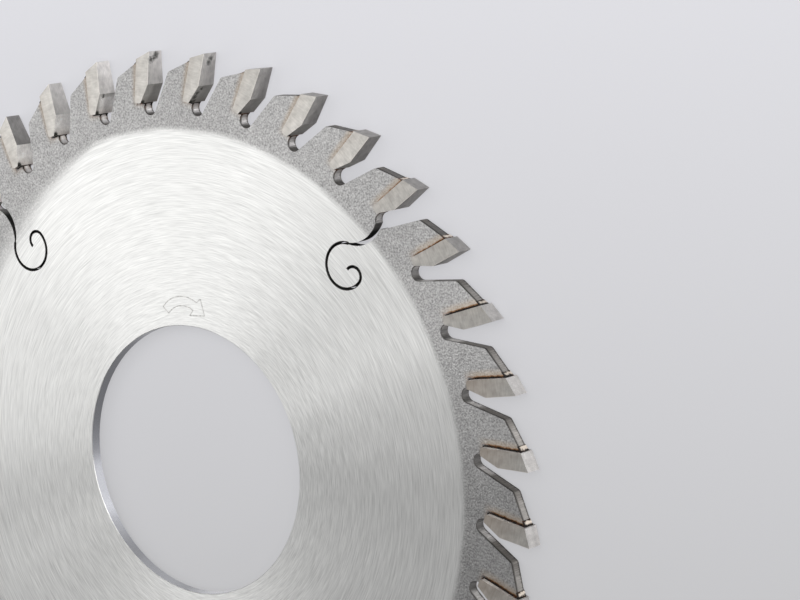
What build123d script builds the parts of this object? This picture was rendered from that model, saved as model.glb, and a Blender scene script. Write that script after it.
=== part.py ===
from build123d import *
from math import acos, atan2, cos, degrees, radians, sin, sqrt, tan
import os

# Conical scoring saw blade: a thin steel plate with a large clamping bore, four laser cut
# expansion slots that end in a curl, and a ring of brazed carbide tips whose sides widen
# inwards, so that a deeper cut is a wider one. Millimetres, degrees.
# The bore lies on Z, the middle of the plate on Z = 0, and the first tip's edge on +X.
# Seen from +Z the blade turns clockwise, and all that is behind a cutting edge lies
# counter-clockwise of it.

# Sizes as sold
outer_diameter = 150.0
bore_diameter = 50.0
tooth_count = 36
kerf_at_edge = 3.4
kerf_at_foot = 4.5

# Steel plate, which the tips overhang on both sides
edge_overhang = 0.6
bore_break = 0.1

# Carbide tip, measured down its rake face and at right angles to it
rake_angle = 7.0
clearance_angle = 19.5
tip_length = 9.47
tip_thickness = 3.1
upper_face_length = 5.94
foot_setback = 1.665
side_relief_angle = 1.7

# Seat of the tip in the plate, with the braze layer between them
seat_corner_radius = 0.5
braze_gap = 0.2
braze_proud = 0.15
bead_length = 0.9
bead_rise = 0.3

# Tooth outline of the plate: the land behind the seat, and the gullet below the tip's foot
land_drop = 0.55
land_length = 5.93
land_angle = 33.7
shoulder_fillet = 0.9
gullet_radius = 1.4
gullet_drop = 0.56

# Expansion slots: an entry that narrows from the gullet, a wide hook and a tight curl
slot_count = 4
first_slotted_tooth = 4
slot_width = 0.3
hook_depth = 11.56
hook_lead = 1.5
hook_radius = 4.07
hook_start_angle = 31.6
hook_sweep = 239.4
curl_radius = 1.65
curl_sweep = 184.0
entry_radius = 5.66
entry_far_growth = (0.15, 0.45)
entry_near_growth = (0.6, 0.55)
entry_sweep = 92.0

# Derived sizes
edge_radius = outer_diameter / 2
bore_radius = bore_diameter / 2
half_plate = kerf_at_edge / 2 - edge_overhang
pitch = 360 / tooth_count
down_rake = Vector(-cos(radians(rake_angle)), sin(radians(rake_angle)))
behind_rake = Vector(sin(radians(rake_angle)), cos(radians(rake_angle)))
edge_point = Vector(edge_radius, 0)
tip_top = tip_thickness * tan(radians(rake_angle + clearance_angle))
seat_depth = tip_thickness + braze_gap
seat_floor = tip_length + braze_gap
seat_top = tip_top + land_drop
tip_corner_chamfer = seat_corner_radius - braze_gap
gullet_down = seat_floor + gullet_drop
gullet_behind = foot_setback - sqrt(gullet_radius**2 - gullet_drop**2)
side_relief = tan(radians(side_relief_angle))


def polar(radius, angle):
    """Return the point at a radius and an angle from +X."""
    return Vector(radius * cos(radians(angle)), radius * sin(radians(angle)))


def on_tip(down, behind):
    """Return the point so far down the rake face and so far behind it."""
    return edge_point + down_rake * down + behind_rake * behind


# Carbide tip: the profile, then the two side faces that open down the tooth

def tip_profile():
    """Return the tip seen along the bore axis."""
    corners = [
        on_tip(0, 0),
        on_tip(tip_top, tip_thickness),
        on_tip(tip_length, tip_thickness),
        on_tip(tip_length, foot_setback),
        on_tip(upper_face_length, 0),
    ]
    outline = Polygon(*corners, align=None)
    rear_corner = outline.vertices().sort_by_distance(on_tip(tip_length, tip_thickness))[0]
    return chamfer(rear_corner, tip_corner_chamfer)


def side_plane(side):
    """Return the plane of one side face, its normal out of the tip."""
    widening = (kerf_at_foot - kerf_at_edge) / 2 + foot_setback * side_relief
    down = Vector(down_rake.X, down_rake.Y, side * widening / tip_length)
    back = Vector(behind_rake.X, behind_rake.Y, -side * side_relief)
    normal = down.cross(back)
    if normal.Z * side < 0:
        normal = normal * -1
    return Plane(origin=(edge_radius, 0, side * kerf_at_edge / 2), x_dir=down, z_dir=normal)


def make_tip():
    """Return the carbide tip of the first tooth."""
    blank = extrude(tip_profile(), kerf_at_foot, both=True)
    for side in (1, -1):
        blank = split(blank, bisect_by=side_plane(side), keep=Keep.BOTTOM)
    return blank


# Steel plate: one tooth pitch of the rim, turned round the bore

land_way = behind_rake * cos(radians(land_angle)) + down_rake * sin(radians(land_angle))
land_start = on_tip(seat_top, seat_depth)
shoulder = land_start + land_way * land_length
gullet_centre = on_tip(gullet_down, gullet_behind)
gullet_entry = on_tip(seat_floor, foot_setback)


def gullet_exit():
    """Return where the back of this tooth runs into the gullet of the tooth behind it."""
    next_centre = gullet_centre.rotate(Axis.Z, pitch)
    reach = shoulder - next_centre
    turn = atan2(reach.Y, reach.X) - acos(gullet_radius / reach.length)
    return next_centre + Vector(cos(turn), sin(turn)) * gullet_radius


def shoulder_arc():
    """Return the start, middle and end of the round between land and tooth back."""
    back_way = (gullet_exit() - shoulder).normalized()
    half_angle = acos(-land_way.dot(back_way)) / 2
    setback = shoulder_fillet / tan(half_angle)
    middle_way = (back_way - land_way).normalized()
    middle = shoulder + middle_way * (shoulder_fillet / sin(half_angle) - shoulder_fillet)
    return shoulder - land_way * setback, middle, shoulder + back_way * setback


def seat_corner():
    """Return the start, middle and end of the round between the seat's floor and wall."""
    slant = seat_corner_radius * (1 - sqrt(0.5))
    return (
        on_tip(seat_floor, seat_depth - seat_corner_radius),
        on_tip(seat_floor - slant, seat_depth - slant),
        on_tip(seat_floor - seat_corner_radius, seat_depth),
    )


def pitch_edges():
    """Return the rim edges of one tooth, from its gullet to the start of the next gullet."""
    own_exit = gullet_exit().rotate(Axis.Z, -pitch)
    deepest = gullet_centre - gullet_centre.normalized() * gullet_radius
    floor_end, corner_middle, wall_start = seat_corner()
    land_end, round_middle, back_start = shoulder_arc()
    return [
        ThreePointArc(own_exit, deepest, gullet_entry),
        Line(gullet_entry, floor_end),
        ThreePointArc(floor_end, corner_middle, wall_start),
        Line(wall_start, land_start),
        Line(land_start, land_end),
        ThreePointArc(land_end, round_middle, back_start),
        Line(back_start, gullet_exit()),
    ]


def slot_face():
    """Return the expansion slot that starts in the gullet of the first tooth."""
    hook_centre = on_tip(gullet_down + hook_depth, gullet_behind - hook_lead)
    entry_centre = hook_centre + polar(hook_radius + entry_radius, hook_start_angle)
    curl_start = hook_start_angle + hook_sweep
    curl_centre = hook_centre + polar(hook_radius - curl_radius, curl_start)
    narrow = [
        CenterArc(hook_centre, hook_radius, hook_start_angle, hook_sweep),
        CenterArc(curl_centre, curl_radius, curl_start, curl_sweep),
    ]
    start = hook_start_angle + 180
    far_wall = [
        entry_centre + polar(entry_radius + slot_width / 2 + growth, start + entry_sweep * share)
        for share, growth in zip((0, 0.5, 1), (0, *entry_far_growth))
    ]
    near_wall = [
        entry_centre + polar(entry_radius - slot_width / 2 - growth, start + entry_sweep * share)
        for share, growth in zip((0, 0.5, 1), (0, *entry_near_growth))
    ]
    mouth = make_face(
        [
            ThreePointArc(*far_wall),
            Line(far_wall[2], near_wall[2]),
            ThreePointArc(*near_wall),
            Line(near_wall[0], far_wall[0]),
        ]
    )
    return mouth + [trace(piece, slot_width) for piece in narrow]


def make_plate():
    """Return the steel plate."""
    period = pitch_edges()
    rim = [edge.rotate(Axis.Z, tooth * pitch) for tooth in range(tooth_count) for edge in period]
    blank = extrude(make_face(rim), half_plate, both=True)
    blank -= Cylinder(bore_radius, kerf_at_foot)
    bore_edges = blank.edges().filter_by(GeomType.CIRCLE).group_by(SortBy.RADIUS)[-1]
    blank = chamfer(bore_edges, bore_break)
    slot = extrude(slot_face(), kerf_at_foot, both=True)
    for number in range(slot_count):
        tooth = first_slotted_tooth + number * tooth_count // slot_count
        blank -= slot.rotate(Axis.Z, tooth * pitch)
    return blank


# Braze: the layer in the seat, a little proud of the plate, and the bead on the land

def seam_face():
    """Return the seat behind and below the tip with the bead, seen along the bore axis."""
    seat = Polygon(
        on_tip(seat_top, foot_setback),
        on_tip(seat_top, seat_depth),
        on_tip(seat_floor, seat_depth),
        on_tip(seat_floor, foot_setback),
        align=None,
    )
    corner = seat.vertices().sort_by_distance(on_tip(seat_floor, seat_depth))[0]
    bead = Polygon(
        land_start,
        land_start + land_way * bead_length,
        on_tip(seat_top - bead_rise, tip_thickness),
        on_tip(seat_top, tip_thickness),
        align=None,
    )
    return fillet(corner, seat_corner_radius) + bead


def make_braze(tip):
    """Return the braze of the first tooth."""
    return extrude(seam_face(), half_plate + braze_proud, both=True) - tip


# Pieces, each to a file of its own

os.makedirs("parts", exist_ok=True)
tip = make_tip()
braze = make_braze(tip)
export_step(make_plate(), "parts/saw_body.step")
for tooth in range(tooth_count):
    export_step(tip.rotate(Axis.Z, tooth * pitch), f"parts/carbide_tip_{tooth + 1:02d}.step")
seams = [braze.rotate(Axis.Z, tooth * pitch) for tooth in range(tooth_count)]
export_step(Compound(children=seams), "parts/braze_seams.step")
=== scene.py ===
"""Conical scoring saw blade: its finishes, braze fillets and rotation arrow, and the studio around it."""

import logging
import math
import random
from dataclasses import dataclass
from enum import Enum

import bmesh
import bpy
from bmesh.types import BMesh, BMVert
from bpy.types import Material, Node, NodeSocket, NodeTree, Object
from mathutils import Matrix, Vector


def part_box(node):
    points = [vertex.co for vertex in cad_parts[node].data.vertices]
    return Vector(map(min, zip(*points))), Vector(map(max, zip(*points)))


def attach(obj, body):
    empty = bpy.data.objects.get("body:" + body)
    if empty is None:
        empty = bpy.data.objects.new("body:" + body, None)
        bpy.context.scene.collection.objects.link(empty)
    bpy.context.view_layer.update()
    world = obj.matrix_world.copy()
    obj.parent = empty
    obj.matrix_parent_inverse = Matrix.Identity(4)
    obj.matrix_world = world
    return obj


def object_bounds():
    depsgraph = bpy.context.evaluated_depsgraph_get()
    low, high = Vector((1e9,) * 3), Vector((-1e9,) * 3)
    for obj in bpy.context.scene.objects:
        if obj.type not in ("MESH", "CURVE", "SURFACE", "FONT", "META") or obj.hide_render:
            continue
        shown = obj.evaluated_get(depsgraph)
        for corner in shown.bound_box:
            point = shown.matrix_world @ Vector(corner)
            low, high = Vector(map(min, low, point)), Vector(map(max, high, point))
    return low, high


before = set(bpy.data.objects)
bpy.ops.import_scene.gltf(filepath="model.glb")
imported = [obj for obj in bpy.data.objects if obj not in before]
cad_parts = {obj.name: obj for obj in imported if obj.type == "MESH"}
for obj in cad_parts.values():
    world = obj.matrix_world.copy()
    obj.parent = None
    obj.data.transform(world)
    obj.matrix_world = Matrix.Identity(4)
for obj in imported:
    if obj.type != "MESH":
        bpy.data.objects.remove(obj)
CAD_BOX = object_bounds()

MM = 0.001
TOOTH_COUNT = 36

# From tooth to tooth, from a tooth's edge back to where its share of the blade starts, and its rake
PITCH = math.tau / TOOTH_COUNT
GULLET_LEAD = math.radians(1.1)
RAKE = math.radians(7.0)
DOWN_WAY = Vector((-math.cos(RAKE), math.sin(RAKE), 0))
BEHIND_WAY = Vector((math.sin(RAKE), math.cos(RAKE), 0))

# Sizes in mm. Those of a tooth are measured down its rake face, or at right angles behind it.
OUTER_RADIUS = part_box("carbide_tip_01")[1].x / MM
PLATE_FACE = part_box("saw_body")[1].z / MM
SEAT_DEPTH = 3.3
SEAT_FLOOR = 9.67
FOOT_SETBACK = 1.665
TIP_FOOT = 9.47
CREASE = 5.94

# The range that holds nearly all of a noise, and the factors that drop Z
NOISE_RANGE = (0.3, 0.7)
FLATTEN = (1, 1, 0)

Source = Node | NodeSocket
Pair = tuple[float, float]
Triple = tuple[float, float, float]


class Slot(Enum):
    """Names of two of the record's material slots."""

    STEEL = "ground_steel"
    BRAZE = "silver_braze"


def linear(hex_colour: str) -> tuple[float, float, float, float]:
    """Turn an sRGB hex colour into linear values.

    Args:
        hex_colour: Six hex digits, with or without a leading mark.

    Returns:
        Red, green, blue and an alpha of 1.
    """
    digits = hex_colour.lstrip("#")
    shares = [int(digits[i:i + 2], 16) / 255 for i in (0, 2, 4)]
    values = [c / 12.92 if c <= 0.04045 else ((c + 0.055) / 1.055) ** 2.4 for c in shares]
    return (*values, 1.0)


def live(node: Node) -> NodeSocket:
    """Return the first output that a node has with its settings."""
    return next(socket for socket in node.outputs if socket.enabled)


def add(tree: NodeTree, kind: str, inputs: dict | list | None = None, **settings) -> Node:
    """Add a node with its settings, links and values, where a hex colour is a value too.

    Args:
        tree: The node tree that takes the node.
        kind: The node's type after ShaderNode, such as Math.
        inputs: Values, sockets or nodes, by a socket's name or in the order of those that are in use.
        **settings: Properties of the node.

    Returns:
        The new node.
    """
    node = tree.nodes.new("ShaderNode" + kind)
    for name, value in settings.items():
        setattr(node, name, value)
    used = [socket for socket in node.inputs if socket.enabled]
    given = zip(used, inputs or ())
    if isinstance(inputs, dict):
        given = ((node.inputs[key], value) for key, value in inputs.items())
    for socket, value in given:
        if isinstance(value, Source):
            tree.links.new(live(value) if isinstance(value, Node) else value, socket)
        else:
            socket.default_value = linear(value) if isinstance(value, str) else value
    return node


def new_material(name: str) -> tuple[Material, NodeTree]:
    """Make a material without nodes.

    Args:
        name: The material's name.

    Returns:
        The material and its empty node tree.
    """
    material = bpy.data.materials.new(name)
    material.use_nodes = True
    material.node_tree.nodes.clear()
    return material, material.node_tree


def dress(piece: Object, material: Material) -> None:
    """Give a piece one material."""
    piece.data.materials.clear()
    piece.data.materials.append(material)


def placed(name: str, mesh: BMesh, material: Material) -> Object:
    """Turn a bmesh into an object of the scene.

    Args:
        name: The object's name.
        mesh: Its shape, in metres, which is freed.
        material: Its finish.

    Returns:
        The new object, at the origin.
    """
    data = bpy.data.meshes.new(name)
    mesh.to_mesh(data)
    mesh.free()
    piece = bpy.data.objects.new(name, data)
    bpy.context.scene.collection.objects.link(piece)
    dress(piece, material)
    return piece


def finished(name: str, mesh: BMesh, material: Material) -> Object:
    """Turn a bmesh into a piece of the blade.

    Args:
        name: The piece's name.
        mesh: Its shape, in metres, which is freed.
        material: Its finish.

    Returns:
        The new object, which rides on the blade.
    """
    bmesh.ops.recalc_face_normals(mesh, faces=mesh.faces)
    piece = placed(name, mesh, material)
    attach(piece, "root")
    return piece


@dataclass(frozen=True)
class Layer:
    """One finish on a surface. Each field is a plain value, or the node or socket that gives it."""

    colour: Source | str
    rough: Source | float
    metal: Source | float = 1.0

    def under(self, tree: NodeTree, top: "Layer", cover: Source) -> "Layer":
        """Lay another finish over this one.

        Args:
            tree: The material's node tree.
            top: The finish that goes on top.
            cover: How much of this finish the top one hides, 0 to 1.

        Returns:
            The two together.
        """
        return Layer(
            add(tree, "Mix", [cover, self.colour, top.colour], data_type="RGBA"),
            add(tree, "Mix", [cover, self.rough, top.rough]),
            add(tree, "Mix", [cover, self.metal, top.metal]),
        )

    def show(self, tree: NodeTree, more: dict) -> None:
        """Add the shader that shows this finish.

        Args:
            tree: The material's node tree.
            more: The shader's other sockets, as inputs for a node.
        """
        finish = {"Base Color": self.colour, "Roughness": self.rough, "Metallic": self.metal}
        add(tree, "OutputMaterial", {"Surface": add(tree, "BsdfPrincipled", finish | more)})


@dataclass(frozen=True)
class ToothPlace:
    """Where a shaded point lies on the blade and on its own tooth, in mm.

    Down runs down the rake face and behind at right angles to it. Level is how far the point is above
    the middle of the plate, and height is that without its sign. Tilt is how far the face looks up or
    down, 0 to 1. Angle and tooth count from +X.
    """

    tree: NodeTree
    point: Source
    radius: Source
    angle: Source
    level: Source
    height: Source
    tilt: Source
    down: Source
    behind: Source
    tooth: Source

    def teeth(self, first: int, last: int) -> Node:
        """Mark a run of teeth.

        Args:
            first: The first tooth of the run, counted from +X.
            last: The last tooth of the run.

        Returns:
            A node that gives 1 on those teeth and 0 elsewhere.
        """
        slack = 0.4
        middle, half = (first + last) / 2, (last - first) / 2 + slack
        return add(self.tree, "Math", [self.tooth, middle, half], operation="COMPARE")

    def within(self, cover: Source | float, *fades: tuple[Source, Pair]) -> Source:
        """Fade a cover out by some values.

        Args:
            cover: How much shows before they count, 0 to 1.
            *fades: Pairs of a value and the range of it that the cover fades in over.

        Returns:
            The faded cover.
        """
        for value, span in fades:
            inside = add(self.tree, "MapRange", [value, *span])
            cover = add(self.tree, "Math", [cover, inside], operation="MULTIPLY")
        return cover


def tooth_place(tree: NodeTree) -> ToothPlace:
    """Add the nodes that turn a point back to the first tooth and measure it from that tooth's edge.

    Args:
        tree: The material's node tree.

    Returns:
        The point's place.
    """
    coordinates = add(tree, "TexCoord")
    point = add(tree, "VectorMath", [coordinates.outputs["Object"], 1 / MM], operation="SCALE")
    parts = add(tree, "SeparateXYZ", [point]).outputs
    flat = add(tree, "VectorMath", [point, FLATTEN], operation="MULTIPLY")
    angle = add(tree, "Math", [parts["Y"], parts["X"]], operation="ARCTAN2")
    turned = add(tree, "Math", [angle, GULLET_LEAD], operation="ADD")
    counted = add(tree, "Math", [turned, PITCH], operation="DIVIDE")
    tooth = add(tree, "Math", [counted], operation="FLOOR")
    back = add(tree, "Math", [tooth, -PITCH], operation="MULTIPLY")
    home = add(tree, "VectorRotate", {"Vector": point, "Angle": back}, rotation_type="Z_AXIS")
    offset = add(tree, "VectorMath", [home, (OUTER_RADIUS, 0, 0)], operation="SUBTRACT")
    facing = add(tree, "SeparateXYZ", [coordinates.outputs["Normal"]])
    return ToothPlace(
        tree=tree,
        point=point,
        radius=add(tree, "VectorMath", [flat], operation="LENGTH"),
        angle=angle,
        level=parts["Z"],
        height=add(tree, "Math", [parts["Z"]], operation="ABSOLUTE"),
        tilt=add(tree, "Math", [facing.outputs["Z"]], operation="ABSOLUTE"),
        down=add(tree, "VectorMath", [offset, DOWN_WAY], operation="DOT_PRODUCT"),
        behind=add(tree, "VectorMath", [offset, BEHIND_WAY], operation="DOT_PRODUCT"),
        tooth=tooth,
    )


@dataclass(frozen=True)
class SlotArc:
    """One arc of an expansion slot, turned to +X, in mm and degrees. Outside leaves its angles out."""

    centre: Pair
    radius: float
    middle: float
    half: float
    outside: bool


@dataclass(frozen=True)
class PlateSteel:
    """Tool steel: fine ground round the bore, grit blasted at the rim, laser cut, browned by brazing.

    To the eye the ground zone is bright satin, whose sheen fans out from the bore, and the blasted ring
    is a soft grey whose sparkle is painted: its highest grains are drawn pale and smooth as glints.
    Streaks and grit are too fine to show, so both are drawn several times as coarse as the wheel and
    the blast leave them. Sizes are in mm, and ranges of radii run from bare to full. Tones multiply a
    colour, from the lowest to the highest parts of the relief.
    """

    ground: str = "#D6D6D4"
    blasted: str = "#A9A8A7"
    # Painted glints: the colour of the few highest grains of the blast
    grain: str = "#F2F2F0"
    cut_wall: str = "#F0EDEA"
    back_wall: str = "#88847F"
    # Painted shade: the lands are drawn darker than the gullets
    land_wall: str = "#B2AEA9"
    # Painted shade, partly burr: the dark rims of the cut walls and the gullet bottoms
    wall_rim: str = "#3A3835"
    slot_wall: str = "#151310"
    bore_wall: str = "#B2B3B6"
    burn: str = "#150E09"
    brown: str = "#3A2616"
    oxide: str = "#8E6B4C"
    straw: str = "#B9A68F"
    streak_length: float = 5.0
    streak_width: float = 0.22
    streak_radius: float = 45.0
    second_centre: Pair = (5.0, -4.0)
    second_share: float = 0.4
    ground_tone: Pair = (0.77, 1.21)
    ground_rough: Pair = (0.315, 0.341)
    grit: float = 0.34
    grit_tone: Pair = (0.6, 1.36)
    cloud_tone: Pair = (0.95, 1.05)
    blasted_rough: float = 0.368
    blasted_radius: float = 60.8
    overspray: Triple = (-47.5, 39.9, 0.0)
    drag_tone: Pair = (0.75, 1.2)
    back_radii: Pair = (65.6, 66.8)
    land_radii: Pair = (71.4, 72.2)
    gullet_radii: Pair = (64.5, 63.6)
    slot_radii: Pair = (63.0, 61.8)
    bore_radius: float = 26.0
    wall_rough: float = 0.41
    slot_count: int = 4
    slot_angle: float = math.radians(40.0)
    slot_width: float = 0.3
    scorch: float = 0.14
    slot_arcs: tuple[SlotArc, ...] = (
        SlotArc((53.236, 1.546), 4.07, -28.7, 60.3, True),
        SlotArc((53.278, -0.874), 1.65, 3.0, 92.0, False),
    )

    def streaks(self, place: ToothPlace, centre: Pair) -> Source:
        """Draw grinding streaks round a point.

        Args:
            place: Where the point lies.
            centre: X and Y of the point that the streaks run round.

        Returns:
            The streaks' height, 0 to 1.
        """
        tree = place.tree
        offset = add(tree, "VectorMath", [place.point, (*centre, 0)], operation="SUBTRACT")
        flat = add(tree, "VectorMath", [offset, FLATTEN], operation="MULTIPLY")
        reach = add(tree, "VectorMath", [flat], operation="LENGTH")
        unit = add(tree, "VectorMath", [flat], operation="NORMALIZE")
        per_turn = self.streak_radius / self.streak_length
        around = add(tree, "VectorMath", [unit, per_turn], operation="SCALE")
        across = add(tree, "Math", [reach, 1 / self.streak_width], operation="MULTIPLY")
        lift = add(tree, "CombineXYZ", {"Z": across})
        path = add(tree, "VectorMath", [around, lift], operation="ADD")
        return add(tree, "TexNoise", {"Vector": path, "Scale": 1.0, "Roughness": 0.6})

    def grinding(self, place: ToothPlace) -> tuple[Layer, Source]:
        """Make the ground finish from two sets of streaks that cross a little.

        Args:
            place: Where the point lies.

        Returns:
            The finish and its relief.
        """
        tree = place.tree
        first = self.streaks(place, (0.0, 0.0))
        second = self.streaks(place, self.second_centre)
        relief = add(tree, "Mix", [self.second_share, first, second])
        tone = add(tree, "MapRange", [relief, *NOISE_RANGE, *self.ground_tone])
        colour = add(tree, "VectorMath", [linear(self.ground)[:3], tone], operation="MULTIPLY")
        rough = add(tree, "MapRange", [relief, *NOISE_RANGE, *self.ground_rough])
        return Layer(colour, rough), relief

    def blasting(self, place: ToothPlace) -> tuple[Layer, Source]:
        """Make the blasted finish, with its highest grains painted pale and smooth as glints.

        Args:
            place: Where the point lies.

        Returns:
            The finish and its relief.
        """
        tree = place.tree
        pits = {"Vector": place.point, "Scale": 1 / self.grit, "Roughness": 0.6}
        grains = add(tree, "TexNoise", pits)
        clouds = add(tree, "TexNoise", {"Vector": place.point, "Scale": 0.35, "Detail": 3.0})
        tone = add(tree, "MapRange", [grains, *NOISE_RANGE, *self.grit_tone])
        cloudy = add(tree, "MapRange", [clouds, *NOISE_RANGE, *self.cloud_tone])
        both = add(tree, "Math", [tone, cloudy], operation="MULTIPLY")
        colour = add(tree, "VectorMath", [linear(self.blasted)[:3], both], operation="MULTIPLY")
        # Painted glints: the highest grains are drawn pale and smooth
        painted_glint = add(tree, "MapRange", [grains, 0.7, 0.8, 0.0, 0.6])
        plain = Layer(colour, self.blasted_rough)
        return plain.under(tree, Layer(self.grain, 0.3), painted_glint), grains

    def blasted_zone(self, place: ToothPlace) -> Source:
        """Mark the blasted ring, whose inner edge wanders and spreads where the blast strayed inwards.

        Args:
            place: Where the point lies.

        Returns:
            How much of the surface is blasted, 0 to 1.
        """
        tree = place.tree
        drift = add(tree, "TexNoise", {"Vector": place.point, "Scale": 0.12, "Detail": 3.0})
        wander = add(tree, "MapRange", [drift, 0.0, 1.0, -0.5, 0.5])
        away = add(tree, "VectorMath", [place.point, self.overspray], operation="DISTANCE")
        strayed = add(tree, "MapRange", [away, 36.0, 13.0, 0.0, 2.9])
        inwards = add(tree, "Math", [wander, strayed], operation="ADD")
        rim = add(tree, "Math", [place.radius, inwards], operation="ADD")
        start = add(tree, "Math", [strayed, -1.1, self.blasted_radius - 0.7], operation="MULTIPLY_ADD")
        end = add(tree, "Math", [strayed, 0.6, self.blasted_radius + 0.9], operation="MULTIPLY_ADD")
        return add(tree, "MapRange", [rim, start, end], interpolation_type="SMOOTHSTEP")

    def wall_metal(self, place: ToothPlace, drag: Source) -> Source:
        """Give the cut walls their colour: bright in the gullets, duller on the backs, and darker on the
        lands as painted shade, most of all on teeth 3 to 6.

        Args:
            place: Where the point lies.
            drag: The relief of the laser's drag lines.

        Returns:
            The colour.
        """
        tree = place.tree
        tone = add(tree, "MapRange", [drag, *NOISE_RANGE, *self.drag_tone])
        outward = add(tree, "MapRange", [place.radius, *self.back_radii])
        land = add(tree, "MapRange", [place.radius, *self.land_radii])
        # Painted shade: the lands of teeth 3 to 6 are drawn at about half their brightness
        shade_on_teeth = add(tree, "Math", [place.teeth(3, 6), -0.52, 1.0], operation="MULTIPLY_ADD")
        land_metal = add(tree, "VectorMath", [linear(self.land_wall)[:3], shade_on_teeth], operation="MULTIPLY")
        inner_metal = add(tree, "Mix", [outward, self.cut_wall, self.back_wall], data_type="RGBA")
        metal = add(tree, "Mix", [land, inner_metal, land_metal], data_type="RGBA")
        return add(tree, "VectorMath", [metal, tone], operation="MULTIPLY")

    def walls(self, place: ToothPlace) -> Layer:
        """Make the cut walls of the teeth, with darker rims that are partly burr and partly painted
        shade, a band of painted shade across the gullet bottoms, fine drag lines and scorched slots.

        Args:
            place: Where the point lies.

        Returns:
            The finish.
        """
        tree = place.tree
        columns = add(tree, "VectorMath", [place.point, (5.0, 5.0, 0.4)], operation="MULTIPLY")
        drag = add(tree, "TexNoise", {"Vector": columns, "Scale": 1.0})
        ragged = add(tree, "MapRange", [drag, *NOISE_RANGE, -0.1, 0.1])
        front = add(tree, "Math", [place.level, ragged], operation="ADD")
        # Painted shade: the walls darken by both faces of the plate, partly where a burr rounds the edge,
        # and across the bottom of each gullet
        rim = 0.0
        for value, span, most in (
            (front, (PLATE_FACE - 0.7, PLATE_FACE - 0.25), 0.85),
            (front, (0.5 - PLATE_FACE, 0.15 - PLATE_FACE), 0.8),
            (place.radius, self.gullet_radii, 0.8),
        ):
            fade = [value, *span, 0.0, most]
            edge_shade = add(tree, "MapRange", fade, interpolation_type="SMOOTHSTEP")
            rim = add(tree, "Math", [rim, edge_shade], operation="MAXIMUM")
        cut = Layer(self.wall_metal(place, drag), self.wall_rough, 0.9)
        cut = cut.under(tree, Layer(self.wall_rim, self.wall_rough, 0.8), rim)
        slot = add(tree, "MapRange", [place.radius, *self.slot_radii])
        cut = cut.under(tree, Layer(self.slot_wall, 0.6, 0.2), slot)
        bore = add(tree, "Math", [place.radius, self.bore_radius], operation="LESS_THAN")
        return cut.under(tree, Layer(self.bore_wall, 0.13), bore)

    def darken_foot_corner(self, place: ToothPlace, walls: Layer) -> Layer:
        """Blacken the corner of the gullet under the tip's foot, with a brown edge.

        Args:
            place: Where the point lies.
            walls: The clean finish of the walls.

        Returns:
            The walls with the dark corner.
        """
        tree = place.tree
        spot = add(tree, "CombineXYZ", [place.down, place.behind, place.height])
        corner = (SEAT_FLOOR, FOOT_SETBACK, PLATE_FACE)
        away = add(tree, "VectorMath", [spot, corner], operation="DISTANCE")
        noise = add(tree, "TexNoise", {"Vector": place.point, "Scale": 1.4})
        shift = add(tree, "MapRange", [noise, 0.0, 1.0, -0.4, 0.4])
        uneven = add(tree, "Math", [away, shift], operation="ADD")
        brown = add(tree, "MapRange", [uneven, 1.3, 0.5, 0.0, 0.4])
        black = add(tree, "MapRange", [uneven, 0.6, 0.4])
        walls = walls.under(tree, Layer(self.oxide, 0.45, 0.6), brown)
        return walls.under(tree, Layer(self.burn, 0.6, 0.2), black)

    def heat_tint(self, place: ToothPlace) -> tuple[Layer, Source]:
        """Make the brown band that brazing and flux left beside the seat.

        Args:
            place: Where the point lies.

        Returns:
            The finish, and how much of it shows, 0 to 1.
        """
        tree = place.tree
        cloud = {"Vector": place.point, "Scale": 1.1, "Detail": 4.0, "Roughness": 0.65}
        noise = add(tree, "TexNoise", cloud)
        shift = add(tree, "MapRange", [noise, *NOISE_RANGE, -0.1, 0.14])
        beside = add(tree, "Math", [place.behind, -SEAT_DEPTH], operation="ADD")
        below = add(tree, "Math", [place.down, -SEAT_FLOOR], operation="ADD")
        away = add(tree, "Math", [beside, below], operation="MAXIMUM")
        uneven = add(tree, "Math", [away, shift], operation="ADD")
        ragged = add(tree, "Math", [place.teeth(3, 7), 0.1, uneven], operation="MULTIPLY_ADD")
        ramp = add(tree, "ValToRGB", {"Fac": ragged})
        bands = ramp.color_ramp.elements
        bands.remove(bands[1])
        bands[0].color = linear(self.burn)
        for start, shade in ((0.1, self.brown), (0.25, self.oxide), (0.5, self.straw)):
            bands.new(start).color = linear(shade)
        crisp = add(tree, "MapRange", [ragged, 0.6, 0.25])
        fade = [ragged, 1.7, 0.5, 0.0, 0.5]
        faint = add(tree, "MapRange", fade, interpolation_type="SMOOTHSTEP")
        reach = add(tree, "Math", [crisp, faint], operation="MAXIMUM")
        shown = place.within(reach, (place.down, (11.0, 8.2)), (place.behind, (1.0, 2.2)))
        return Layer(ramp, 0.5, 0.75), shown

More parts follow.
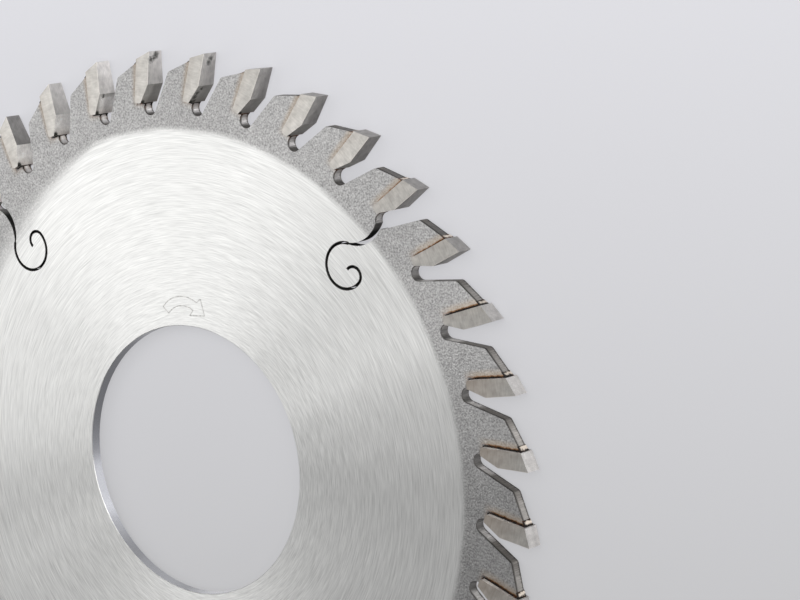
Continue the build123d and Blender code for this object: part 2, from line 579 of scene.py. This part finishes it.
    def slot_scorch(self, place: ToothPlace) -> Source:
        """Mark the thin edge that the laser scorched along the hook and curl of each slot.

        Args:
            place: Where the point lies.

        Returns:
            How much scorch covers the point, 0 to 1.
        """
        tree = place.tree
        spread = math.tau / self.slot_count
        turned = add(tree, "Math", [place.angle, spread / 2 - self.slot_angle], operation="ADD")
        counted = add(tree, "Math", [turned, spread], operation="DIVIDE")
        number = add(tree, "Math", [counted], operation="FLOOR")
        back = add(tree, "Math", [number, -spread, -self.slot_angle], operation="MULTIPLY_ADD")
        flat = add(tree, "VectorMath", [place.point, FLATTEN], operation="MULTIPLY")
        home = add(tree, "VectorRotate", {"Vector": flat, "Angle": back}, rotation_type="Z_AXIS")
        cover = 0.0
        for arc in self.slot_arcs:
            offset = add(tree, "VectorMath", [home, (*arc.centre, 0)], operation="SUBTRACT")
            reach = add(tree, "VectorMath", [offset], operation="LENGTH")
            band = [reach, arc.radius, self.slot_width / 2 + self.scorch]
            on_line = add(tree, "Math", band, operation="COMPARE")
            sides = add(tree, "SeparateXYZ", [offset]).outputs
            facing = add(tree, "Math", [sides["Y"], sides["X"]], operation="ARCTAN2")
            sector = [facing, math.radians(arc.middle), math.radians(arc.half)]
            within = add(tree, "Math", sector, operation="COMPARE")
            if arc.outside:
                within = add(tree, "Math", [1.0, within], operation="SUBTRACT")
            mark = add(tree, "Math", [on_line, within], operation="MULTIPLY")
            cover = add(tree, "Math", [cover, mark], operation="MAXIMUM")
        return cover

    def material(self) -> Material:
        """Build the plate's material.

        Returns:
            The material.
        """
        material, tree = new_material("tool_steel_ground_and_blasted")
        place = tooth_place(tree)
        ground, streaks = self.grinding(place)
        gritty, grains = self.blasting(place)
        blasted = self.blasted_zone(place)
        tint, tinted = self.heat_tint(place)
        face = ground.under(tree, gritty, blasted).under(tree, tint, tinted)
        face = face.under(tree, Layer(self.slot_wall, 0.6, 0.2), self.slot_scorch(place))
        upright = add(tree, "Math", [place.tilt, 0.4], operation="LESS_THAN")
        finish = face.under(tree, self.darken_foot_corner(place, self.walls(place)), upright)
        relief = add(tree, "Mix", [blasted, streaks, grains])
        depth = add(tree, "Mix", [blasted, 0.1, 0.9])
        bump = add(tree, "Bump", {"Strength": depth, "Distance": 0.05 * MM, "Height": relief})
        tangent = add(tree, "Tangent", direction_type="RADIAL", axis="Z")
        sheen_fan = {"Tangent": tangent, "Anisotropic": 0.97, "Anisotropic Rotation": 0.25}
        finish.show(tree, {"Normal": bump, **sheen_fan})
        return material


@dataclass(frozen=True)
class Stain:
    """A spot of burnt resin on one tip, in mm down the rake face, behind it and above the middle."""

    tooth: int
    down: float
    behind: float
    level: float
    size: float


@dataclass(frozen=True)
class TipFaces:
    """Marks for the faces of a tip, 0 or 1. The walls are all its faces but the two sides."""

    side: Source
    wall: Source
    top: Source
    rake: Source
    facet: Source


@dataclass(frozen=True)
class TipCarbide:
    """Sintered tungsten carbide, ground with a diamond wheel: warm grey satin with lit edges.

    To the eye the sides and faces have fine lines, drawn coarser than the wheel leaves them. The facets
    are painted paler than the other faces, painted shade darkens the facets of a few teeth, most along
    their creases, and painted light and shade change the sides, tops and rake faces of some teeth. Flux
    browns the feet. Sizes are in mm, and each gain or loss of tone is added to 1 on some faces.
    """

    colour: str = "#AEABA6"
    wall: str = "#DAD7D4"
    # Painted light: the facets are drawn paler than the other walls of the tip
    facet: str = "#F8F5F1"
    edge: str = "#C2BEB7"
    resin: str = "#23221A"
    # Painted shade on the facets of some teeth
    facet_shade: str = "#5A584E"
    flux: str = "#8B7662"
    line_width: float = 0.16
    side_stretch: Triple = (0.55, 0.08, 0.0)
    wall_stretch: Triple = (0.12, 1.0, 1.0)
    line_tone: Pair = (0.89, 1.11)
    cloud_tone: Pair = (0.84, 1.13)
    side_rough: Pair = (0.34, 0.42)
    wall_rough: float = 0.5
    wall_grain: float = 0.9
    front_line: float = 0.05
    top_end: float = 1.7
    # Painted light and shade by tooth: paler sides on teeth 5 and 6, darker tops on teeth 3 to 6, darker
    # rake faces on teeth 5 to 7 and 11 to 13
    side_light_5_6: float = 0.14
    top_loss: float = -0.1
    top_shade_3_6: float = -0.18
    rake_shade_11_13: float = -0.26
    rake_shade_5_7: float = -0.17
    facet_shade_share: float = 0.6
    dark_foot_corner: Triple = (TIP_FOOT, FOOT_SETBACK, 1.9)
    stains: tuple[Stain, ...] = (
        Stain(9, 1.5, 0.0, 1.1, 0.8),
        Stain(9, 0.7, 0.0, -0.2, 0.95),
        Stain(9, 1.2, 0.0, 0.4, 0.6),
        Stain(8, 1.0, 0.0, -0.3, 0.75),
        Stain(8, 1.7, 0.0, 0.1, 0.75),
        Stain(10, 6.4, 0.2, 1.0, 0.55),
        Stain(8, 6.6, 0.3, 0.7, 0.6),
        Stain(8, 7.4, 0.7, 1.3, 0.75),
        Stain(8, 8.3, 1.1, 1.4, 0.85),
        Stain(8, 9.1, 1.5, 1.0, 0.75),
    )

    def faces(self, place: ToothPlace) -> TipFaces:
        """Tell the faces of a tip apart.

        Args:
            place: Where the point lies.

        Returns:
            The marks of the faces.
        """
        tree = place.tree
        side = add(tree, "Math", [place.tilt, 0.5], operation="GREATER_THAN")
        wall = add(tree, "Math", [1.0, side], operation="SUBTRACT")
        behind = add(tree, "Math", [place.behind, self.front_line], operation="GREATER_THAN")
        in_front = add(tree, "Math", [place.behind, self.front_line], operation="LESS_THAN")
        high = add(tree, "Math", [place.down, self.top_end], operation="LESS_THAN")
        above_crease = add(tree, "Math", [place.down, CREASE], operation="LESS_THAN")
        below_crease = add(tree, "Math", [place.down, CREASE], operation="GREATER_THAN")
        high_behind = add(tree, "Math", [behind, high], operation="MULTIPLY")
        return TipFaces(
            side=side,
            wall=wall,
            top=add(tree, "Math", [high_behind, wall], operation="MULTIPLY"),
            rake=add(tree, "Math", [above_crease, in_front], operation="MULTIPLY"),
            facet=add(tree, "Math", [below_crease, wall], operation="MULTIPLY"),
        )

    def tone(self, place: ToothPlace, faces: TipFaces, lines: Source) -> Source:
        """Vary the tone with the grinding lines and with clouds, and paint light and shade from tooth to
        tooth.

        Args:
            place: Where the point lies.
            faces: The marks of the tip's faces.
            lines: The relief of the grinding lines.

        Returns:
            What the colour is multiplied by.
        """
        tree = place.tree
        clouds = add(tree, "TexNoise", {"Vector": place.point, "Scale": 0.8, "Detail": 4.0})
        lined = add(tree, "MapRange", [lines, *NOISE_RANGE, *self.line_tone])
        clouded = add(tree, "MapRange", [clouds, *NOISE_RANGE, *self.cloud_tone])
        mottled = add(tree, "Math", [lined, clouded], operation="MULTIPLY")
        # Painted light on the sides of teeth 5 and 6, painted shade on the tops of teeth 3 to 6 and on
        # the rake faces of teeth 5 to 7 and 11 to 13
        light = add(tree, "Math", [place.teeth(5, 6), self.side_light_5_6], operation="MULTIPLY")
        shade_on_teeth = [place.teeth(3, 6), self.top_shade_3_6, self.top_loss]
        top_loss = add(tree, "Math", shade_on_teeth, operation="MULTIPLY_ADD")
        rake_shaded_teeth = add(tree, "Math", [place.teeth(11, 13), place.teeth(12, 13)], operation="ADD")
        late_rake_shade = add(tree, "Math", [rake_shaded_teeth, self.rake_shade_11_13], operation="MULTIPLY")
        darkened_teeth = [place.teeth(5, 7), self.rake_shade_5_7, late_rake_shade]
        rake_loss = add(tree, "Math", darkened_teeth, operation="MULTIPLY_ADD")
        level = 1.0
        for face, change in ((faces.side, light), (faces.top, top_loss), (faces.rake, rake_loss)):
            level = add(tree, "Math", [face, change, level], operation="MULTIPLY_ADD")
        return add(tree, "Math", [mottled, level], operation="MULTIPLY")

    def bare(self, place: ToothPlace, faces: TipFaces, lines: Source) -> Layer:
        """Make the clean ground carbide, with its front edges lit.

        Args:
            place: Where the point lies.
            faces: The marks of the tip's faces.
            lines: The relief of the grinding lines.

        Returns:
            The finish.
        """
        tree = place.tree
        lined = add(tree, "MapRange", [lines, *NOISE_RANGE, *self.side_rough])
        rough = add(tree, "Mix", [faces.side, self.wall_rough, lined])
        shade = self.colour
        for face, other in ((faces.wall, self.wall), (faces.facet, self.facet)):
            shade = add(tree, "Mix", [face, shade, other], data_type="RGBA")
        tone = self.tone(place, faces, lines)
        colour = add(tree, "VectorMath", [shade, tone], operation="MULTIPLY")
        front = add(tree, "MapRange", [place.behind, 0.12, 0.03])
        edge = add(tree, "Math", [front, faces.side], operation="MULTIPLY")
        return Layer(colour, rough).under(tree, Layer(self.edge, 0.3), edge)

    def spots(self, place: ToothPlace) -> Source:
        """Mark the stains.

        Args:
            place: Where the point lies.

        Returns:
            How much resin covers the point, 0 to 1.
        """
        tree = place.tree
        own = add(tree, "CombineXYZ", [place.down, place.behind, place.level])
        noise = add(tree, "TexNoise", {"Vector": place.point, "Scale": 2.8, "Detail": 3.0})
        ragged = add(tree, "MapRange", [noise, 0.0, 1.0, -0.5, 0.5])
        cover = 0.0
        for stain in self.stains:
            middle = (stain.down, stain.behind, stain.level)
            away = add(tree, "VectorMath", [own, middle], operation="DISTANCE")
            uneven = add(tree, "Math", [away, ragged], operation="ADD")
            fade = (stain.size, stain.size * 0.3)
            near = add(tree, "MapRange", [uneven, *fade, 0.0, 0.88])
            here = place.teeth(stain.tooth, stain.tooth)
            mark = add(tree, "Math", [near, here], operation="MULTIPLY")
            cover = add(tree, "Math", [cover, mark], operation="MAXIMUM")
        return cover

    def dirt_and_shade(self, place: ToothPlace, faces: TipFaces, clean: Layer) -> Layer:
        """Lay flux, painted shade on the facets, a dark spot in the foot corner and spots of burnt resin
        over the clean carbide.

        Args:
            place: Where the point lies.
            faces: The marks of the tip's faces.
            clean: The clean finish.

        Returns:
            The finish with all its dirt.
        """
        tree = place.tree
        darkened_teeth = add(tree, "Math", [place.teeth(-2, 1), faces.side], operation="MULTIPLY")
        # Painted shade on the facets: along the front edge and the crease on teeth 8 to 10, and evenly on
        # teeth 5 to 9
        front_edge = add(tree, "MapRange", [place.level, 1.4, 2.0, 0.0, 0.55])
        crease = add(tree, "MapRange", [place.down, 6.7, 6.0, 0.0, 0.45])
        edges = add(tree, "Math", [front_edge, crease], operation="MAXIMUM")
        crease_shade = add(tree, "Math", [place.teeth(8, 10), edges], operation="MULTIPLY")
        thin = add(tree, "Math", [place.teeth(5, 9), self.facet_shade_share], operation="MULTIPLY")
        facet_shade = add(tree, "Math", [crease_shade, thin], operation="MAXIMUM")
        own = add(tree, "CombineXYZ", [place.down, place.behind, place.level])
        away = add(tree, "VectorMath", [own, self.dark_foot_corner], operation="DISTANCE")
        finish = clean
        for dirt, mask, value, span, most in (
            (Layer(self.flux, 0.5, 0.7), faces.wall, place.down, (8.0, 9.4), 0.4),
            (Layer(self.flux, 0.45, 0.8), faces.side, place.behind, (1.4, 3.1), 0.1),
            (Layer(self.flux, 0.42, 0.8), darkened_teeth, place.down, (1.5, 9.0), 0.36),
            (Layer(self.facet_shade, 0.5, 0.6), faces.facet, facet_shade, (0.0, 1.0), 1.0),
            # A dark spot in the walls' corner at the tip's foot, in the resin's colour
            (Layer(self.resin, 0.55, 0.1), faces.wall, away, (0.85, 0.5), 1.0),
        ):
            depth = add(tree, "MapRange", [value, *span, 0.0, most])
            cover = add(tree, "Math", [depth, mask], operation="MULTIPLY")
            finish = finish.under(tree, dirt, cover)
        return finish.under(tree, Layer(self.resin, 0.55, 0.1), self.spots(place))

    def material(self) -> Material:
        """Build the tips' material.

        Returns:
            The material.
        """
        material, tree = new_material("tungsten_carbide_diamond_ground")
        place = tooth_place(tree)
        faces = self.faces(place)
        own = add(tree, "CombineXYZ", [place.down, place.behind, place.height])
        ways = [faces.side, self.wall_stretch, self.side_stretch]
        stretch = add(tree, "Mix", ways, data_type="VECTOR")
        stretched = add(tree, "VectorMath", [own, stretch], operation="MULTIPLY")
        lines = add(tree, "TexNoise", {"Vector": stretched, "Scale": 1 / self.line_width})
        finish = self.dirt_and_shade(place, faces, self.bare(place, faces, lines))
        bump = add(tree, "Bump", {"Strength": 0.15, "Distance": 0.02 * MM, "Height": lines})
        grain = add(tree, "Math", [faces.wall, self.wall_grain], operation="MULTIPLY")
        upwards = add(tree, "CombineXYZ", {"Z": 1.0})
        finish.show(tree, {"Normal": bump, "Anisotropic": grain, "Tangent": upwards})
        return material


@dataclass(frozen=True)
class Braze:
    """Silver braze as it froze: black and copper brown with oxide, pale gold where it stands clear.

    To the eye it is a dark, slightly lumpy line round the seat, with a bright bead on the land.
    """

    crust: str = "#160E09"
    copper: str = "#6E4527"
    gold: str = "#E0D5C6"
    copper_gain: float = 0.18
    bead_start: Pair = (3.35, 3.5)
    bead_end: Pair = (3.95, 3.8)
    bead_levels: Pair = (0.9, 0.5)

    def material(self) -> Material:
        """Build the braze's material.

        Returns:
            The material.
        """
        material, tree = new_material("silver_braze_oxidised")
        place = tooth_place(tree)
        noise = add(tree, "TexNoise", {"Vector": place.point, "Scale": 1.6, "Detail": 3.0})
        warmer = [place.teeth(3, 7), self.copper_gain, noise]
        coppery = add(tree, "Math", warmer, operation="MULTIPLY_ADD")
        brown = add(tree, "MapRange", [coppery, 0.55, 0.8])
        shift = add(tree, "MapRange", [noise, 0.0, 1.0, -0.4, 0.4])
        along = add(tree, "Math", [place.behind, shift], operation="ADD")
        bead = ((along, self.bead_start), (along, self.bead_end), (place.level, self.bead_levels))
        clear = place.within(1.0, *bead)
        finish = Layer(self.crust, 0.6, 0.5)
        finish = finish.under(tree, Layer(self.copper, 0.42, 0.9), brown)
        finish = finish.under(tree, Layer(self.gold, 0.42), clear)
        bump = add(tree, "Bump", {"Strength": 0.5, "Distance": 0.05 * MM, "Height": noise})
        finish.show(tree, {"Normal": bump})
        return material


@dataclass(frozen=True)
class EtchedSteel:
    """Tool steel etched by a laser: to the eye a thin matt line, a little darker than the ground face."""

    colour: str = "#C6C5C2"
    tone: Pair = (0.75, 1.15)

    def material(self) -> Material:
        """Build the etched line's material.

        Returns:
            The material.
        """
        material, tree = new_material("steel_laser_etched")
        place = tooth_place(tree)
        noise = add(tree, "TexNoise", {"Vector": place.point, "Scale": 2.5, "Detail": 3.0})
        tone = add(tree, "MapRange", [noise, 0.35, 0.65, *self.tone])
        colour = add(tree, "VectorMath", [linear(self.colour)[:3], tone], operation="MULTIPLY")
        Layer(colour, 0.5, 0.9).show(tree, {})
        return material


@dataclass
class BrazeFillets:
    """The uneven fillet of braze that climbs the back of each tip on both faces of the plate, in mm.

    Knee gives the shares of width and rise at which its hollow slope bends. Wave is where on a half
    wave its swelling starts and how much of the wave it runs through.
    """

    material: Material
    start_down: float = 1.9
    end_down: float = 8.9
    steps: int = 12
    width: float = 0.09
    width_spread: Pair = (0.85, 1.15)
    rise: float = 0.2
    rise_spread: Pair = (0.8, 1.15)
    knee: Pair = (0.45, 0.38)
    sunk: float = 0.08
    overlap: float = 0.24
    wave: Pair = (0.12, 0.98)
    end_swell: float = 0.25
    seed: int = 36

    def swell(self, share: float) -> float:
        """Say how full the fillet is along its length.

        Args:
            share: The share of its length, from its upper end.

        Returns:
            The fullness, 0 to 1.
        """
        if share == 1.0:
            return self.end_swell
        start, run = self.wave
        return math.sin(math.pi * min(1.0, start + share * run)) ** 0.5

    def at(self, down: float, behind: float, height: float, turn: Matrix) -> Vector:
        """Return a point given on the first tooth, turned to another one, in metres."""
        point = Vector((OUTER_RADIUS, 0, height)) + DOWN_WAY * down + BEHIND_WAY * behind
        return turn @ point * MM

    def strip(self, mesh: BMesh, side: int, tooth: int, dice: random.Random) -> None:
        """Draw one fillet along the seat wall.

        Args:
            mesh: The bmesh that takes it.
            side: 1 for the front of the plate, -1 for its back.
            tooth: The tooth's number from +X.
            dice: Source of the unevenness.
        """
        turn = Matrix.Rotation(tooth * PITCH, 3, "Z")
        inner = SEAT_DEPTH - self.overlap
        rows = []
        for step in range(self.steps + 1):
            share = step / self.steps
            down = self.start_down + (self.end_down - self.start_down) * share
            swell = self.swell(share)
            width = self.width * swell * dice.uniform(*self.width_spread)
            rise = self.rise * swell * dice.uniform(*self.rise_spread)
            bend, lip = self.knee
            profile = (
                (inner, -self.sunk), (inner, rise), (SEAT_DEPTH + width * bend, rise * lip),
                (SEAT_DEPTH + width, -self.sunk),
            )
            rows.append([
                mesh.verts.new(self.at(down, behind, side * (PLATE_FACE + lift), turn))
                for behind, lift in profile
            ])
        for pair in zip(rows, rows[1:]):
            edges = [
                mesh.edges.get(ends) or mesh.edges.new(ends)
                for row in pair for ends in zip(row, row[1:] + row[:1])
            ]
            bmesh.ops.bridge_loops(mesh, edges=edges)
        for cap in (rows[0], rows[-1]):
            mesh.faces.new(cap)

    def build(self) -> Object:
        """Draw all the fillets as one piece.

        Returns:
            The piece.
        """
        dice = random.Random(self.seed)
        mesh = bmesh.new()
        for tooth in range(TOOTH_COUNT):
            for side in (1, -1):
                self.strip(mesh, side, tooth, dice)
        return finished("braze_fillets", mesh, self.material)


@dataclass
class RotationArrow:
    """The outlined arrow beside the bore that gives the way of turning, in mm and degrees."""

    centre: Pair = (1.04, 24.2)
    outer: float = 6.17
    inner: float = 4.45
    head_outer: float = 7.36
    head_inner: float = 3.2
    tip_radius: float = 5.9
    start_angle: float = 136.0
    neck_angle: float = 53.0
    head_outer_angle: float = 50.0
    head_inner_angle: float = 55.0
    tip_angle: float = 25.0
    line: float = 0.2
    proud: float = 0.012
    steps: int = 24

    def corner(self, radius: float, angle: float) -> Vector:
        """Return a point of the arrow on the plate's face, in metres.

        Args:
            radius: How far it is from the arrow's centre.
            angle: Its angle from +X.

        Returns:
            The point.
        """
        turn = math.radians(angle)
        x, y = self.centre
        return Vector((x + radius * math.cos(turn), y + radius * math.sin(turn), PLATE_FACE)) * MM

    def arc(self, mesh: BMesh, radius: float) -> None:
        """Spin a line's section along one arc of the shaft.

        Args:
            mesh: The bmesh that takes it.
            radius: The arc's radius.
        """
        low = self.corner(radius - self.line / 2, self.start_angle)
        high = self.corner(radius + self.line / 2, self.start_angle)
        lift = Vector((0, 0, self.proud * MM))
        verts = [mesh.verts.new(p) for p in (low, high, high + lift, low + lift)]
        face = mesh.faces.new(verts)
        bmesh.ops.spin(
            mesh, geom=[face, *face.edges, *verts], cent=Vector((*self.centre, 0)) * MM, axis=(0, 0, 1),
            angle=math.radians(self.neck_angle - self.start_angle), steps=self.steps, use_duplicate=False,
        )

    def stroke(self, mesh: BMesh, start: Vector, end: Vector) -> None:
        """Draw one straight line of the outline.

        Args:
            mesh: The bmesh that takes it.
            start: Its first point, in metres.
            end: Its last point, in metres.
        """
        way = (end - start).normalized()
        side = Vector((-way.y, way.x, 0)) * self.line / 2 * MM
        verts = [mesh.verts.new(p) for p in (start - side, start + side, end + side, end - side)]
        raised = bmesh.ops.extrude_face_region(mesh, geom=[mesh.faces.new(verts)])
        moved = [item for item in raised["geom"] if isinstance(item, BMVert)]
        bmesh.ops.translate(mesh, verts=moved, vec=Vector((0, 0, self.proud * MM)))

    def build(self) -> Object:
        """Draw the arrow as one piece.

        Returns:
            The piece.
        """
        mesh = bmesh.new()
        self.arc(mesh, self.outer)
        self.arc(mesh, self.inner)
        outline = [
            self.corner(radius, angle) for radius, angle in (
                (self.outer, self.neck_angle), (self.head_outer, self.head_outer_angle),
                (self.tip_radius, self.tip_angle), (self.head_inner, self.head_inner_angle),
                (self.inner, self.neck_angle),
            )
        ]
        tail = self.corner(self.outer, self.start_angle), self.corner(self.inner, self.start_angle)
        for start, end in (tail, *zip(outline, outline[1:])):
            self.stroke(mesh, start, end)
        return finished("rotation_arrow", mesh, EtchedSteel().material())


@dataclass
class SawBlade:
    """The blade's own pieces, as they come from the frame, with their finishes."""

    steel: PlateSteel = PlateSteel()
    carbide: TipCarbide = TipCarbide()
    braze: Braze = Braze()

    def build(self) -> list[Object]:
        """Dress the plate, tips and braze, and add the fillets and the arrow.

        Returns:
            All pieces of the blade.
        """
        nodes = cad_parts
        steel, carbide, braze = self.steel.material(), self.carbide.material(), self.braze.material()
        for name, piece in nodes.items():
            if name.startswith("carbide_tip"):
                dress(piece, carbide)
            elif name == "braze_seams":
                dress(piece, braze)
            else:
                dress(piece, steel)
        return [*nodes.values(), BrazeFillets(braze).build(), RotationArrow().build()]


@dataclass(frozen=True)
class Panel:
    """A soft box of the studio, in mm and degrees, which looks at its target."""

    name: str
    width: float
    depth: float
    place: Triple
    radiance: float
    target: Triple = (0.0, 20.0, 0.0)
    spin: float = 0.0

    def hang(self) -> None:
        """Put the panel in the scene."""
        data = bpy.data.lights.new(self.name, "AREA")
        data.shape = "RECTANGLE"
        data.size, data.size_y = self.width * MM, self.depth * MM
        data.energy = self.radiance * math.pi * data.size * data.size_y
        lamp = bpy.data.objects.new(self.name, data)
        place, target = Vector(self.place) * MM, Vector(self.target) * MM
        turn = (place - target).to_track_quat("Z", "Y").to_matrix().to_4x4()
        turn = turn @ Matrix.Rotation(math.radians(self.spin), 4, "Z")
        lamp.matrix_world = Matrix.Translation(place) @ turn
        bpy.context.scene.collection.objects.link(lamp)


@dataclass
class Studio:
    """Pale paper floor, soft panels, a soft sky, and the camera at the photograph's angle.

    To the eye the floor is a matt grey sheet, whose glow keeps the shadow soft, and which is painted
    paler towards +Y as a fall of light.
    """

    near_colour: str = "#C4C4C6"
    far_colour: str = "#E1E1E6"
    floor_radius_mm: float = 3000.0
    fade_mm: Pair = (-30.0, 100.0)
    glow: float = 0.72
    metal_glow: float = 0.4
    gloss_roughness: float = 0.25
    sky_colour: str = "#FCFCFF"
    sky: float = 0.18
    panels: tuple[Panel, ...] = (
        Panel("far_ceiling", 1200.0, 750.0, (-300.0, 430.0, 500.0), 0.38, (-300.0, 430.0, 0.0)),
        Panel("far_wing", 340.0, 340.0, (-130.0, 325.0, 450.0), 1.3, (-130.0, 325.0, 0.0)),
        Panel("ray_wing", 500.0, 250.0, (221.0, 269.0, 450.0), 1.25, (221.0, 269.0, 0.0), 20.0),
        Panel("ray_edge", 500.0, 30.0, (260.0, 161.0, 450.0), 4.6, (260.0, 161.0, 0.0), 20.0),
        Panel("far_left", 400.0, 400.0, (-350.0, -50.0, 450.0), 0.63),
        Panel("far_right", 400.0, 400.0, (-300.0, 300.0, 400.0), 0.05),
        Panel("right_wing", 400.0, 400.0, (280.0, 350.0, 350.0), 0.2),
        Panel("near_right", 300.0, 300.0, (330.0, 230.0, 380.0), 0.4),
        Panel("near_ceiling", 400.0, 400.0, (450.0, 100.0, 450.0), 1.75),
        Panel("near_middle", 220.0, 220.0, (250.0, 75.0, 265.0), 0.95),
        Panel("near_left", 300.0, 300.0, (400.0, -30.0, 420.0), 0.5),
        Panel("left_wing", 300.0, 300.0, (350.0, -120.0, 420.0), 0.3),
        Panel("low_fill", 160.0, 160.0, (-220.0, 40.0, 180.0), 1.3, (-20.0, 40.0, 0.0)),
        Panel("left_end", 500.0, 240.0, (430.0, -350.0, 150.0), 1.9),
    )
    aim_mm: Triple = (50.24, 29.17, 0.0)
    azimuth: float = 10.345
    elevation: float = 52.05
    distance_mm: float = 493.13
    roll: float = -103.545
    lens_mm: float = 129.19

    def paper(self) -> Material:
        """Build the floor's matt paper, which glows a little to the lens and to metal, and is painted
        paler towards +Y as a fall of light.

        Returns:
            The material.
        """
        material, tree = new_material("matte_paper_floor")
        parts = add(tree, "SeparateXYZ", [add(tree, "TexCoord").outputs["Object"]]).outputs
        fade = tuple(place * MM for place in self.fade_mm)
        # Painted light: the floor's colour grows paler towards +Y
        across = add(tree, "MapRange", [parts["Y"], *fade])
        colour = add(tree, "Mix", [across, self.near_colour, self.far_colour], data_type="RGBA")
        matt = {"Base Color": colour, "Roughness": 0.9, "Specular IOR Level": 0.0}
        plain = add(tree, "BsdfPrincipled", matt)
        bright = add(tree, "Emission", {"Color": colour, "Strength": 1.0})
        gloss = add(tree, "BsdfGlossy", {"Color": colour, "Roughness": self.gloss_roughness})
        path = add(tree, "LightPath").outputs
        seen = [path["Is Camera Ray"], path["Is Transmission Ray"]]
        lens = add(tree, "Math", seen, operation="MAXIMUM")
        lens_share = add(tree, "Math", [lens, self.glow], operation="MULTIPLY")
        to_lens = add(tree, "MixShader", [lens_share, plain, bright])
        to_metal = add(tree, "MixShader", [self.metal_glow, gloss, bright])
        both = add(tree, "MixShader", [path["Is Glossy Ray"], to_lens, to_metal])
        add(tree, "OutputMaterial", {"Surface": both})
        return material

    def floor(self) -> None:
        """Lay the floor under the tips."""
        mesh = bmesh.new()
        bmesh.ops.create_circle(mesh, cap_ends=True, segments=96, radius=self.floor_radius_mm * MM)
        bmesh.ops.translate(mesh, verts=mesh.verts, vec=(0, 0, CAD_BOX[0][2]))
        piece = placed("studio_floor", mesh, self.paper())

    def light(self) -> None:
        """Hang the panels and set the sky."""
        for panel in self.panels:
            panel.hang()
        world = bpy.data.worlds.new("soft_sky")
        world.use_nodes = True
        world.node_tree.nodes.clear()
        sky = add(world.node_tree, "Background", {"Color": self.sky_colour, "Strength": self.sky})
        add(world.node_tree, "OutputWorld", {"Surface": sky})
        bpy.context.scene.world = world
        bpy.context.scene.view_settings.view_transform = "Standard"

    def camera(self) -> None:
        """Place the camera as the photograph was taken."""
        azimuth, elevation, roll = (math.radians(a) for a in (self.azimuth, self.elevation, self.roll))
        level = Vector((math.cos(azimuth), math.sin(azimuth), 0))
        back = level * math.cos(elevation) + Vector((0, 0, math.sin(elevation)))
        right = Vector((0, 0, 1)).cross(back).normalized()
        up = back.cross(right)
        turned_right = right * math.cos(roll) + up * math.sin(roll)
        turned_up = up * math.cos(roll) - right * math.sin(roll)
        place = Matrix((turned_right, turned_up, back)).transposed().to_4x4()
        place.translation = (Vector(self.aim_mm) + back * self.distance_mm) * MM
        data = bpy.data.cameras.new("photo_camera")
        data.lens = self.lens_mm
        data.clip_start = 0.01
        camera = bpy.data.objects.new("photo_camera", data)
        camera.matrix_world = place
        bpy.context.scene.collection.objects.link(camera)
        bpy.context.scene.camera = camera


def main() -> None:
    """Build the blade's finish and the studio, and report each piece."""
    logging.basicConfig(level=logging.INFO, format="%(message)s")
    pieces = SawBlade().build()
    studio = Studio()
    studio.floor()
    studio.light()
    studio.camera()
    for piece in pieces:
        logging.info("%s: %d faces", piece.name, len(piece.data.polygons))


if __name__ == "__main__":
    main()
